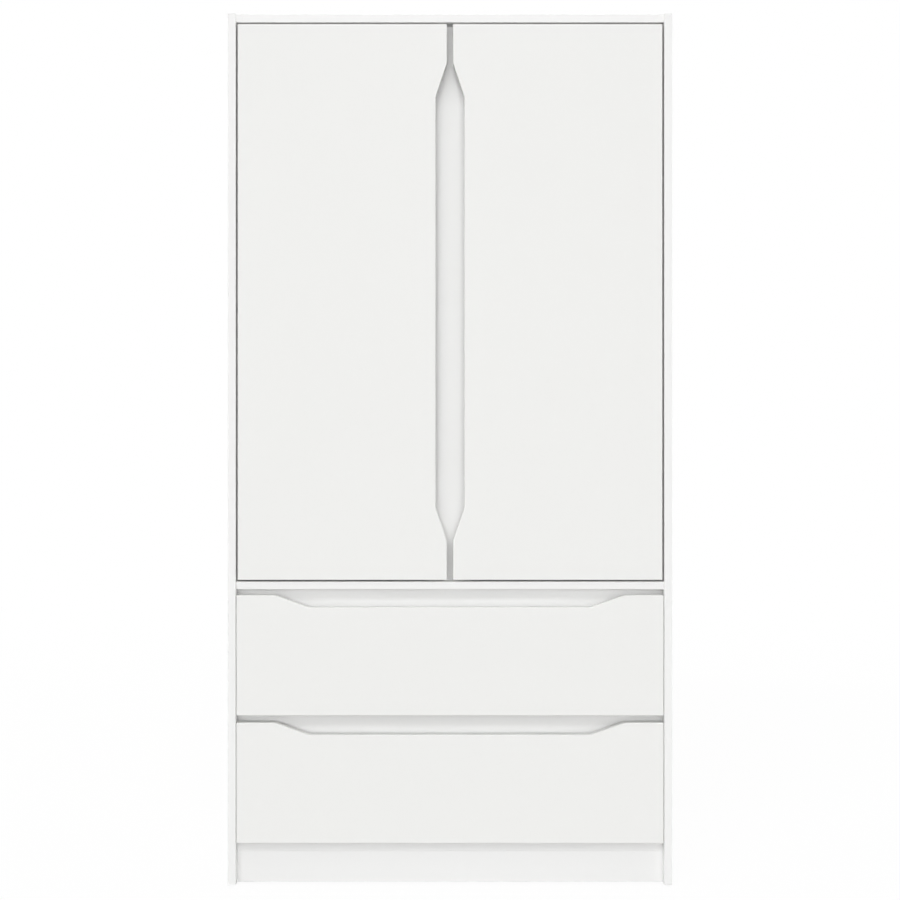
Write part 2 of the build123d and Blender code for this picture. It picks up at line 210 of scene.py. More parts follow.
@dataclass(frozen=True)
class Finish:
    """A finish of the wardrobe: its name, its colours and how its surface was made.

    Attributes:
        name: the material's name.
        light: the colour of the paler patches.
        dark: the colour of the deeper patches.
        patch_mm: the size of those patches.
        grain_mm: the size of the surface's own texture.
        grain_depth_mm: the depth of that texture.
        roughness: the least and the greatest roughness.
        ior: index of refraction, left at its default on metal.
        metallic: 1 on bare metal.
        stretch: how much the grain is drawn out along X, Y and Z.
    """

    name: str
    light: str
    dark: str
    patch_mm: float
    grain_mm: float
    grain_depth_mm: float
    roughness: tuple[float, float]
    ior: float = 1.5
    metallic: float = 0.0
    stretch: Point = (1.0, 1.0, 1.0)

    PATCH_DETAIL = 3.0
    DRIFT_DETAIL = 4.0
    DRIFT_SHARE = 0.5  # size of the roughness's patches over the colour's
    GRAIN_DETAIL = 2.0

    def material(self) -> bpy.types.Material:
        """Build the finish, or give the one that was built before.

        Returns:
            The material, with its colour, roughness and relief from nodes.
        """
        made = bpy.data.materials.get(self.name)
        if made:
            return made
        made = bpy.data.materials.new(self.name)
        tree = blank_tree(made)
        where = add(tree, "ShaderNodeTexCoord").outputs["Object"]
        inputs = {
            "Base Color": self.colour(tree, where),
            "Roughness": self.rough(tree, where),
            "Normal": self.relief(tree, where),
            "Metallic": self.metallic,
        }
        if not self.metallic:
            inputs["IOR"] = self.ior
        shader = add(tree, "ShaderNodeBsdfPrincipled", inputs=inputs)
        add(tree, "ShaderNodeOutputMaterial", inputs={"Surface": shader.outputs["BSDF"]})
        return made

    def colour(self, tree: bpy.types.NodeTree, where: bpy.types.NodeSocket) -> bpy.types.NodeSocket:
        """Soft patches between the two colours.

        Args:
            tree: the material's tree.
            where: the coordinates to draw on.

        Returns:
            The colour's socket.
        """
        patches = add(
            tree,
            "ShaderNodeTexNoise",
            inputs={
                "Vector": where,
                "Scale": per_metre(self.patch_mm),
                "Detail": self.PATCH_DETAIL,
            },
        )
        mix = add(
            tree,
            "ShaderNodeMix",
            {"data_type": "RGBA"},
            {FACTOR: patches.outputs["Fac"], COLOUR_A: linear(self.dark), COLOUR_B: linear(self.light)},
        )
        return mix.outputs[COLOUR_OUT]

    def rough(self, tree: bpy.types.NodeTree, where: bpy.types.NodeSocket) -> bpy.types.NodeSocket:
        """Roughness that drifts between its limits, as wiped and handled faces do.

        Args:
            tree: the material's tree.
            where: the coordinates to draw on.

        Returns:
            The roughness socket.
        """
        drift = add(
            tree,
            "ShaderNodeTexNoise",
            inputs={
                "Vector": where,
                "Scale": per_metre(self.patch_mm * self.DRIFT_SHARE),
                "Detail": self.DRIFT_DETAIL,
            },
        )
        low, high = self.roughness
        span = add(
            tree,
            "ShaderNodeMapRange",
            inputs={"Value": drift.outputs["Fac"], "To Min": low, "To Max": high},
        )
        return span.outputs["Result"]

    def relief(self, tree: bpy.types.NodeTree, where: bpy.types.NodeSocket) -> bpy.types.NodeSocket:
        """Fine relief of the surface, drawn out along the way it was rolled or drawn.

        Args:
            tree: the material's tree.
            where: the coordinates to draw on.

        Returns:
            The normal's socket.
        """
        drawn = add(
            tree,
            "ShaderNodeMapping",
            inputs={"Vector": where, "Scale": tuple(1 / s for s in self.stretch)},
        )
        grain = add(
            tree,
            "ShaderNodeTexNoise",
            inputs={
                "Vector": drawn.outputs["Vector"],
                "Scale": per_metre(self.grain_mm),
                "Detail": self.GRAIN_DETAIL,
            },
        )
        bump = add(
            tree,
            "ShaderNodeBump",
            inputs={"Height": grain.outputs["Fac"], "Distance": self.grain_depth_mm * MM},
        )
        return bump.outputs["Normal"]


@dataclass(frozen=True)
class Hardboard(Finish):
    """Pressed wood fibre, lacquered white on one face and raw on the other.

    Attributes:
        raw_light: the colour of the paler fibres of the raw face.
        raw_dark: the colour of the deeper fibres.
        fibre_mm: the width of a fibre.
        fibre_length: a fibre's length in widths.
        screen_mm: the pitch of the wire screen that the raw face was pressed on.
        screen_depth_mm: the depth of that screen's print.
        raw_side: the direction that the raw face looks in.
    """

    raw_light: str = "#A5845F"
    raw_dark: str = "#7C5C3E"
    fibre_mm: float = 1.2
    fibre_length: float = 5.0
    screen_mm: float = 3.0
    screen_depth_mm: float = 0.25
    raw_side: Point = (0.0, 1.0, 0.0)

    RAW_LIMIT = 0.5  # least cosine between a raw face and the raw side
    FIBRE_DETAIL = 6.0
    FIBRE_BEND = 1.5
    WIRE_BEND = 0.6

    def colour(self, tree: bpy.types.NodeTree, where: bpy.types.NodeSocket) -> bpy.types.NodeSocket:
        """White lacquer, with brown fibres on the raw face.

        Args:
            tree: the material's tree.
            where: the coordinates to draw on.

        Returns:
            The colour's socket.
        """
        lacquer = super().colour(tree, where)
        laid = add(
            tree,
            "ShaderNodeMapping",
            inputs={"Vector": where, "Scale": (1.0 / self.fibre_length, 1.0, 1.0)},
        )
        fibres = add(
            tree,
            "ShaderNodeTexNoise",
            inputs={
                "Vector": laid.outputs["Vector"],
                "Scale": per_metre(self.fibre_mm),
                "Detail": self.FIBRE_DETAIL,
                "Distortion": self.FIBRE_BEND,
            },
        )
        raw = add(
            tree,
            "ShaderNodeMix",
            {"data_type": "RGBA"},
            {
                FACTOR: fibres.outputs["Fac"],
                COLOUR_A: linear(self.raw_dark),
                COLOUR_B: linear(self.raw_light),
            },
        )
        mix = add(
            tree,
            "ShaderNodeMix",
            {"data_type": "RGBA"},
            {FACTOR: self.raw_share(tree), COLOUR_A: lacquer, COLOUR_B: raw.outputs[COLOUR_OUT]},
        )
        return mix.outputs[COLOUR_OUT]

    def raw_share(self, tree: bpy.types.NodeTree) -> bpy.types.NodeSocket:
        """A factor that is 1 on the raw face.

        Args:
            tree: the material's tree.

        Returns:
            The factor's socket.
        """
        normal = add(tree, "ShaderNodeTexCoord").outputs["Normal"]
        along = add(
            tree,
            "ShaderNodeVectorMath",
            {"operation": "DOT_PRODUCT"},
            {0: normal, 1: self.raw_side},
        )
        is_raw = add(
            tree,
            "ShaderNodeMath",
            {"operation": "GREATER_THAN"},
            {0: along.outputs["Value"], 1: self.RAW_LIMIT},
        )
        return is_raw.outputs["Value"]

    def relief(self, tree: bpy.types.NodeTree, where: bpy.types.NodeSocket) -> bpy.types.NodeSocket:
        """The lacquer's relief, with the print of a woven wire screen on the raw face.

        Args:
            tree: the material's tree.
            where: the coordinates to draw on.

        Returns:
            The normal's socket.
        """
        height = self.raw_share(tree)
        across = "Z" if self.raw_side[1] else "Y"
        for direction in ("X", across):
            wires = add(
                tree,
                "ShaderNodeTexWave",
                {"bands_direction": direction},
                {
                    "Vector": where,
                    "Scale": WAVE_UNIT * per_metre(self.screen_mm),
                    "Distortion": self.WIRE_BEND,
                },
            )
            product = add(
                tree,
                "ShaderNodeMath",
                {"operation": "MULTIPLY"},
                {0: height, 1: wires.outputs["Fac"]},
            )
            height = product.outputs["Value"]
        bump = add(
            tree,
            "ShaderNodeBump",
            inputs={
                "Height": height,
                "Distance": self.screen_depth_mm * MM,
                "Normal": super().relief(tree, where),
            },
        )
        return bump.outputs["Normal"]


# Melamine-faced chipboard, pressed on a fine pearl plate: a clean satin white whose pearl grain only
# shows where light rakes over it. The grain is drawn about twice as coarse as the real one.
# Its white is set a shade lighter than the front foil's below. This is painted light on the carcass edges,
# which stand in the same light as the fronts, and on the stile and rails behind the grips.
MELAMINE = Finish(
    "white_melamine", light="#F4F4F3", dark="#F2F2F1", patch_mm=300.0,
    grain_mm=1.4, grain_depth_mm=0.02, roughness=(0.46, 0.54),
)

# Thermoplastic foil drawn over board: a little softer than the carcass, with a faint orange peel.
# Its white is set a shade greyer than the carcass white above, the other side of that painted light.
FOIL = Finish(
    "white_front_foil", light="#F1F1EF", dark="#EFEFED", patch_mm=350.0,
    grain_mm=4.0, grain_depth_mm=0.02, roughness=(0.48, 0.57),
)

# Printed paper foil on thin chipboard: matt, slightly uneven white.
PAPER_FOIL = Finish(
    "white_paper_foil", light="#EEEEEB", dark="#EAEAE7", patch_mm=120.0,
    grain_mm=0.9, grain_depth_mm=0.02, roughness=(0.5, 0.6),
)

# Hardboard with one lacquered face: dull white in front, and raw brown fibre behind or below, printed by
# the screen that it was pressed on. The screen is drawn about twice as coarse as the real one.
BACK_HARDBOARD = Hardboard(
    "back_hardboard", light="#EDEDEA", dark="#E9E9E6", patch_mm=200.0,
    grain_mm=1.6, grain_depth_mm=0.03, roughness=(0.55, 0.68),
)
BOTTOM_HARDBOARD = Hardboard(
    "drawer_hardboard", light="#EDEDEA", dark="#E8E8E5", patch_mm=160.0,
    grain_mm=1.6, grain_depth_mm=0.03, roughness=(0.5, 0.62),
    raw_side=(0.0, 0.0, -1.0),
)

# Injection-moulded polypropylene: soft white with a spark-eroded grain.
WHITE_PLASTIC = Finish(
    "white_polypropylene", light="#F0F0EE", dark="#ECECEA", patch_mm=60.0,
    grain_mm=0.7, grain_depth_mm=0.03, roughness=(0.42, 0.52), ior=1.49,
)

# Moulded polyethylene: waxy grey.
GREY_PLASTIC = Finish(
    "grey_polyethylene", light="#A9A9A6", dark="#9C9C99", patch_mm=20.0,
    grain_mm=0.8, grain_depth_mm=0.03, roughness=(0.5, 0.6), ior=1.51,
)

# Pressed and nickel-plated steel: warm, fairly bright, with the press's fine drawing marks.
NICKEL = Finish(
    "nickel_plated_steel", light="#CFC9BE", dark="#BDB6AA", patch_mm=14.0,
    grain_mm=0.5, grain_depth_mm=0.015, roughness=(0.22, 0.34),
    metallic=1.0, stretch=(1.0, 1.0, 4.0),
)

# Roll-formed zinc-plated steel: cool grey with long rolling lines along the slide.
ZINC = Finish(
    "zinc_plated_steel", light="#C6C9CB", dark="#B1B5B8", patch_mm=40.0,
    grain_mm=0.8, grain_depth_mm=0.02, roughness=(0.28, 0.42),
    metallic=1.0, stretch=(1.0, 30.0, 1.0),
)

# Bright chrome on a drawn oval tube: mirror-like with faint draw lines along its length.
CHROME = Finish(
    "chromed_tube", light="#E2E2E3", dark="#D8D8DA", patch_mm=80.0,
    grain_mm=0.6, grain_depth_mm=0.004, roughness=(0.05, 0.12),
    metallic=1.0, stretch=(60.0, 1.0, 1.0),
)


@dataclass(frozen=True)
class Fastener:
    """A round fastener head, as it shows above the face that it sits in.

    Attributes:
        name: the fastener's name.
        radius_mm: the head's radius.
        height_mm: how far the head stands proud.
        crown: the top's radius over the head's.
        cross_mm: width, length and depth of the cross recess, or None for a plain head.
        finish: what it is made of.
        slot: the name of the slot for that finish; not used.
    """

    name: str
    radius_mm: float
    height_mm: float
    crown: float
    cross_mm: tuple[float, float, float] | None
    finish: Finish
    slot: str

    SINK_MM = 0.3
    SIDES = 28
    SEED = 7

    def tree(self) -> bpy.types.NodeTree:
        """Geometry nodes that set one head on every point, with named inputs for its sizes.

        Returns:
            The node tree, built once for each kind of fastener.
        """
        name = f"{self.name}_on_points"
        if name in bpy.data.node_groups:
            return bpy.data.node_groups[name]
        tree = bpy.data.node_groups.new(name, "GeometryNodeTree")
        tree.interface.new_socket("Geometry", in_out="INPUT", socket_type="NodeSocketGeometry")
        for label in self.sizes():
            tree.interface.new_socket(label, in_out="INPUT", socket_type="NodeSocketFloat")
        tree.interface.new_socket("Finish", in_out="INPUT", socket_type="NodeSocketMaterial")
        tree.interface.new_socket("Geometry", in_out="OUTPUT", socket_type="NodeSocketGeometry")
        given = add(tree, "NodeGroupInput").outputs
        head = add(
            tree,
            "GeometryNodeMeshCone",
            inputs={
                "Vertices": self.SIDES,
                "Radius Top": given["Top Radius"],
                "Radius Bottom": given["Head Radius"],
                "Depth": given["Head Height"],
            },
        ).outputs["Mesh"]
        if self.cross_mm:
            head = self.recessed(tree, given, head)
        looks = add(
            tree,
            "GeometryNodeInputNamedAttribute",
            {"data_type": "FLOAT_VECTOR"},
            {"Name": FACING_ATTRIBUTE},
        )
        aligned = add(
            tree,
            "FunctionNodeAlignRotationToVector",
            {"axis": "Z"},
            {"Vector": looks.outputs["Attribute"]},
        )
        turn = add(
            tree,
            "FunctionNodeRandomValue",
            {"data_type": "FLOAT"},
            {"Max": math.tau, "Seed": self.SEED},
        )
        twist = add(
            tree,
            "FunctionNodeAxisAngleToRotation",
            inputs={"Axis": (0.0, 0.0, 1.0), "Angle": turn.outputs["Value"]},
        )
        turned = add(
            tree,
            "FunctionNodeRotateRotation",
            {"rotation_space": "LOCAL"},
            {"Rotation": aligned.outputs["Rotation"], "Rotate By": twist.outputs["Rotation"]},
        )
        placed = add(
            tree,
            "GeometryNodeInstanceOnPoints",
            inputs={
                "Points": given["Geometry"],
                "Instance": head,
                "Rotation": turned.outputs["Rotation"],
            },
        )
        real = add(tree, "GeometryNodeRealizeInstances", inputs={"Geometry": placed.outputs["Instances"]})
        dressed = add(
            tree,
            "GeometryNodeSetMaterial",
            inputs={"Geometry": real.outputs["Geometry"], "Material": given["Finish"]},
        )
        add(tree, "NodeGroupOutput", inputs={"Geometry": dressed.outputs["Geometry"]})
        return tree

    @staticmethod
    def recessed(
        tree: bpy.types.NodeTree, given: bpy.types.NodeOutputs, head: bpy.types.NodeSocket
    ) -> bpy.types.NodeSocket:
        """Cut a cross into the top of a head.

        Args:
            tree: the tree that holds the head.
            given: the tree's named inputs.
            head: the plain head.

        Returns:
            The head with its recess.
        """
        # Half of each bar stands above the head, so a bar is twice as tall as the recess is deep
        deep = add(
            tree,
            "ShaderNodeMath",
            {"operation": "MULTIPLY"},
            {0: given["Cross Depth"], 1: 2.0},
        )
        bars = []
        for x, y in (("Cross Width", "Cross Length"), ("Cross Length", "Cross Width")):
            size = add(
                tree,
                "ShaderNodeCombineXYZ",
                inputs={"X": given[x], "Y": given[y], "Z": deep.outputs["Value"]},
            )
            bar = add(tree, "GeometryNodeMeshCube", inputs={"Size": size.outputs["Vector"]})
            top = add(tree, "ShaderNodeCombineXYZ", inputs={"Z": given["Head Height"]})
            moved = add(
                tree,
                "GeometryNodeTransform",
                inputs={"Geometry": bar.outputs["Mesh"], "Translation": top.outputs["Vector"]},
            )
            bars.append(moved.outputs["Geometry"])
        cut = add(
            tree,
            "GeometryNodeMeshBoolean",
            {"operation": "DIFFERENCE", "solver": "EXACT"},
            {"Mesh 1": head, "Mesh 2": bars},
        )
        return cut.outputs["Mesh"]

    def sizes(self) -> dict[str, float]:
        """The tree's inputs by name, in metres."""
        width, length, depth = self.cross_mm or (0.0, 0.0, 0.0)
        height = self.height_mm + self.SINK_MM
        named = {
            "Head Radius": self.radius_mm,
            "Head Height": height,
            "Top Radius": self.radius_mm * self.crown,
            "Cross Width": width,
            "Cross Length": length,
            "Cross Depth": depth,
        }
        return {label: value * MM for label, value in named.items()}

    def set_out(self, label: str, spots: Iterable[tuple[Vector, Facing]], body: str) -> bpy.types.Object:
        """Put a head at every spot, as one plain mesh that moves with a body.

        Args:
            label: the new piece's name.
            spots: points on a face, each with the way that the face looks.
            body: the body that carries them.

        Returns:
            The new piece.
        """
        spots = list(spots)
        mesh = bpy.data.meshes.new(label)
        sunk = [spot - Vector(facing.value) * self.SINK_MM * MM for spot, facing in spots]
        mesh.from_pydata([tuple(p) for p in sunk], [], [])
        looks = mesh.attributes.new(FACING_ATTRIBUTE, "FLOAT_VECTOR", "POINT")
        looks.data.foreach_set("vector", [v for _, facing in spots for v in facing.value])
        piece = put(label, mesh)
        modifier = piece.modifiers.new("heads", "NODES")
        modifier.node_group = self.tree()
        values = {**self.sizes(), "Finish": self.finish.material()}
        for socket in modifier.node_group.interface.items_tree:
            if socket.in_out == "INPUT" and socket.name in values:
                modifier[socket.identifier] = values[socket.name]
        graph = bpy.context.evaluated_depsgraph_get()
        plain = bpy.data.meshes.new_from_object(piece.evaluated_get(graph))
        piece.modifiers.clear()
        piece.data = plain
        plain.name = label
        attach(piece, body)
        LOG.info("%s: %d %s heads on %s", label, len(spots), self.name, body)
        return piece


CUP_SCREW = Fastener(
    "cup_screw", radius_mm=3.6, height_mm=1.3, crown=0.72, cross_mm=(0.9, 4.4, 1.1),
    finish=NICKEL, slot="nickel_steel",
)
PLATE_SCREW = Fastener(
    "plate_screw", radius_mm=4.0, height_mm=1.5, crown=0.7, cross_mm=(1.0, 4.8, 1.2),
    finish=NICKEL, slot="nickel_steel",
)
ARM_SCREW = Fastener(
    "arm_screw", radius_mm=3.2, height_mm=1.8, crown=0.88, cross_mm=(0.9, 4.4, 1.2),
    finish=NICKEL, slot="nickel_steel",
)
SOCKET_SCREW = Fastener(
    "socket_screw", radius_mm=2.2, height_mm=1.0, crown=0.7, cross_mm=(0.6, 2.6, 0.7),
    finish=NICKEL, slot="nickel_steel",
)
CAM = Fastener(
    "cam", radius_mm=7.5, height_mm=0.3, crown=0.97, cross_mm=(1.6, 9.0, 1.0),
    finish=ZINC, slot="zinc_steel",
)
SLIDE_SCREW = Fastener(
    "slide_screw", radius_mm=3.4, height_mm=1.5, crown=0.72, cross_mm=(0.9, 4.2, 1.1),
    finish=ZINC, slot="zinc_steel",
)
NAIL = Fastener(
    "nail", radius_mm=2.1, height_mm=0.5, crown=0.86, cross_mm=None,
    finish=ZINC, slot="zinc_steel",
)


def dress(nodes: Mapping[str, bpy.types.Object], finish: Finish, names: Iterable[str]) -> None:
    """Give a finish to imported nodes.

    Args:
        nodes: the frame's nodes by name.
        finish: the finish that they get.
        names: the nodes to dress.
    """
    for name in names:
        mesh = nodes[name].data
        mesh.materials.clear()
        mesh.materials.append(finish.material())
        LOG.info("%s: %s", name, finish.name)


@dataclass
class Carcass:
    """The boards that stand still, with the hat shelf and the hanging rail.

    Attributes:
        nodes: the frame's nodes by name.
        cam_inset: distance of a cam from a board's end.
        cam_row: distance of a cam from a board's front or rear edge.
        socket_screw_reach: distance of a socket's screws from its middle.
    """

    nodes: Mapping[str, bpy.types.Object]
    cam_inset: float = 0.034
    cam_row: float = 0.06
    socket_screw_reach: float = 0.0195

    BOARDS = (
        "left_side_panel", "right_side_panel", "top_panel", "middle_shelf", "bottom_panel", "plinth",
        "rear_plinth_rail", "centre_stile", "upper_drawer_rail", "lower_drawer_rail", "hat_shelf",
    )
    JOINED = ("top_panel", "middle_shelf", "bottom_panel")

    def build(self) -> None:
        """Dress the boards and fittings, and set out the cams and socket screws."""
        dress(self.nodes, MELAMINE, self.BOARDS)
        dress(self.nodes, CHROME, ["hanging_rail"])
        dress(self.nodes, WHITE_PLASTIC, ["rail_sockets"])
        dress(self.nodes, GREY_PLASTIC, ["foot_glides"])
        dress(self.nodes, ZINC, ["shelf_pins"])
        CAM.set_out("board_cams", self.cam_spots(), "carcass")
        SOCKET_SCREW.set_out("socket_screws", self.socket_screw_spots(), "carcass")

    def cam_spots(self) -> Iterable[tuple[Vector, Facing]]:
        """Cams in the underside of each joined board, near its corners."""
        for name in self.JOINED:
            low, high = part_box(name)
            for x in (low.x + self.cam_inset, high.x - self.cam_inset):
                for y in (low.y + self.cam_row, high.y - self.cam_row):
                    yield Vector((x, y, low.z)), Facing.DOWN

    def socket_screw_spots(self) -> Iterable[tuple[Vector, Facing]]:
        """Two screws in each socket's base, above and below the rail."""
        low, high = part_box("rail_sockets")
        rail_low, rail_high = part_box("hanging_rail")
        y, z = (low.y + high.y) / 2, (low.z + high.z) / 2
        for x, facing in ((rail_low.x, Facing.RIGHT), (rail_high.x, Facing.LEFT)):
            for reach in (-self.socket_screw_reach, self.socket_screw_reach):
                yield Vector((x, y, z + reach)), facing


@dataclass
class Back:
    """The two hardboard halves of the back, their joining strip and their nails.

    Attributes:
        nodes: the frame's nodes by name.
        nail_edge: distance of a nail from the back's outer edge.
        nail_pitch: the widest spacing of nails.
    """

    nodes: Mapping[str, bpy.types.Object]
    nail_edge: float = 0.007
    nail_pitch: float = 0.12

    HALVES = ("left_back_panel", "right_back_panel")

    def build(self) -> None:
        """Dress the halves and the strip, and nail them to the carcass."""
        dress(self.nodes, BACK_HARDBOARD, self.HALVES)
        dress(self.nodes, WHITE_PLASTIC, ["back_joint_strip"])
        NAIL.set_out("back_nails", self.nail_spots(), "carcass")

    def nail_spots(self) -> Iterable[tuple[Vector, Facing]]:
        """Nails along the rear edges of the sides, the top, the shelf and the bottom."""
        low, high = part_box(self.HALVES[0])
        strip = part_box("back_joint_strip")[1].x
        shelf_low, shelf_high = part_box("middle_shelf")
        outer, inner = low.x + self.nail_edge, -strip - self.nail_edge
        bottom, top = low.z + self.nail_edge, high.z - self.nail_edge
        for side in Side:
            for z in self.spaced(bottom, top):
                yield Vector((-side.value * outer, high.y, z)), Facing.BACK
            for z in (bottom, (shelf_low.z + shelf_high.z) / 2, top):
                for x in self.spaced(outer, inner)[1:]:
                    yield Vector((-side.value * x, high.y, z)), Facing.BACK

    def spaced(self, start: float, end: float) -> list[float]:
        """Even stations between two ends, no further apart than the pitch.

        Args:
            start: the first station.
            end: the last station.

        Returns:
            The stations, both ends included.
        """
        count = math.ceil((end - start) / self.nail_pitch)
        return [start + (end - start) * i / count for i in range(count + 1)]


@dataclass
class Door:
    """One door with its three concealed hinges.

    Attributes:
        nodes: the frame's nodes by name.
        side: the side that it hangs on.
        hinge_inset: distance of the outer hinges from the door's ends.
        cup_screw_reach: distance of a cup's screws from its middle.
        wing_middle: distance of the plate's screws from its front edge.
        wing_screw_reach: distance of the plate's screws from its middle.
        arm_steel: thickness of the arm, which lies on the plate.
        arm_screw_rows: distances of the arm's screws from the plate's rear edge.
    """

    nodes: Mapping[str, bpy.types.Object]
    side: Side
    hinge_inset: float = 0.1
    cup_screw_reach: float = 0.024
    wing_middle: float = 0.0075
    wing_screw_reach: float = 0.0165
    arm_steel: float = 0.003
    arm_screw_rows: tuple[float, float] = (0.007, 0.024)

    def build(self) -> None:
        """Dress the door and its hinges, and set out the hinge screws."""
        word = self.side.word
        dress(self.nodes, FOIL, [f"{word}_door"])
        dress(self.nodes, NICKEL, [f"{word}_hinge_{piece}" for piece in ("cups", "pins", "arms", "plates")])
        CUP_SCREW.set_out(f"{word}_cup_screws", self.cup_screw_spots(), f"{word}_door")
        PLATE_SCREW.set_out(f"{word}_plate_screws", self.plate_screw_spots(), "carcass")
        ARM_SCREW.set_out(f"{word}_arm_screws", self.arm_screw_spots(), "carcass")

    def levels(self) -> tuple[float, float, float]:
        """Heights of the three hinges."""
        low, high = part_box(f"{self.side.word}_door")
        return low.z + self.hinge_inset, (low.z + high.z) / 2, high.z - self.hinge_inset

    def cup_screw_spots(self) -> Iterable[tuple[Vector, Facing]]:
        """Two screws in each cup's flange, on the door's back."""
        low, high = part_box(f"{self.side.word}_hinge_cups")
        for z in self.levels():
            for reach in (-self.cup_screw_reach, self.cup_screw_reach):
                yield Vector(((low.x + high.x) / 2, high.y, z + reach)), Facing.BACK

    def plate_face(self) -> tuple[float, float, float]:
        """X of the plates' faces, and Y of their front and rear edges."""
        low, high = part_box(f"{self.side.word}_hinge_plates")
        return self.side.inner_x(low, high), low.y, high.y

    def plate_screw_spots(self) -> Iterable[tuple[Vector, Facing]]:
        """Two screws in the wings of each plate."""
        x, front, _ = self.plate_face()
        for z in self.levels():
            for reach in (-self.wing_screw_reach, self.wing_screw_reach):
                yield Vector((x, front + self.wing_middle, z + reach)), self.side.inward

    def arm_screw_spots(self) -> Iterable[tuple[Vector, Facing]]:
        """The fixing and the adjusting screw of each arm."""
        x, _, rear = self.plate_face()
        x -= self.side.value * self.arm_steel
        for z in self.levels():
            for row in self.arm_screw_rows:
                yield Vector((x, rear - row, z)), self.side.inward


@dataclass
class Drawer:
    """One drawer: its front, its box and its two telescopic slides.

    Attributes:
        nodes: the frame's nodes by name.
        level: its place in the stack.
        cam_inset: distance of the cams from the front's back.
        cam_rows: distances of the cams from the box's lower and upper edges.
        slide_steel: thickness of the slides' steel.
        slide_screw_inset: distance of a slide's outer screws from its ends.
        slide_screws: number of screws in each inner slide member.
    """

    nodes: Mapping[str, bpy.types.Object]
    level: Level
    cam_inset: float = 0.034
    cam_rows: tuple[float, float] = (0.04, 0.035)
    slide_steel: float = 0.0012
    slide_screw_inset: float = 0.035
    slide_screws: int = 4

    def build(self) -> None:
        """Dress the front, the box and the slides, and set out the cams and the slides' screws."""
        name = self.level.value
        dress(self.nodes, FOIL, [f"{name}_front"])
        dress(self.nodes, PAPER_FOIL, [f"{name}_{piece}" for piece in ("left_side", "right_side", "back")])
        dress(self.nodes, BOTTOM_HARDBOARD, [f"{name}_bottom"])
        members = [
            f"{name}_{side.word}_slide_{member}" for side in Side for member in ("outer", "middle", "inner")
        ]
        dress(self.nodes, ZINC, members)
        CAM.set_out(f"{name}_cams", self.cam_spots(), name)
        SLIDE_SCREW.set_out(f"{name}_slide_screws", self.slide_screw_spots(), name)

    def cam_spots(self) -> Iterable[tuple[Vector, Facing]]:
        """Two cams in the inner face of each box side, behind the front."""
        for side in Side:
            low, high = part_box(f"{self.level.value}_{side.word}_side")
            x = side.inner_x(low, high)
            for z in (low.z + self.cam_rows[0], high.z - self.cam_rows[1]):
                yield Vector((x, low.y + self.cam_inset, z)), side.inward

    def slide_screw_spots(self) -> Iterable[tuple[Vector, Facing]]:
        """A row of screws in the web of each inner slide member, on the side away from the box."""
        for side in Side:
            low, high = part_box(f"{self.level.value}_{side.word}_slide_inner")
            x = side.inner_x(low, high) + side.value * self.slide_steel
            first, last = low.y + self.slide_screw_inset, high.y - self.slide_screw_inset
            for i in range(self.slide_screws):
                y = first + (last - first) * i / (self.slide_screws - 1)
                yield Vector((x, y, (low.z + high.z) / 2)), side.outward


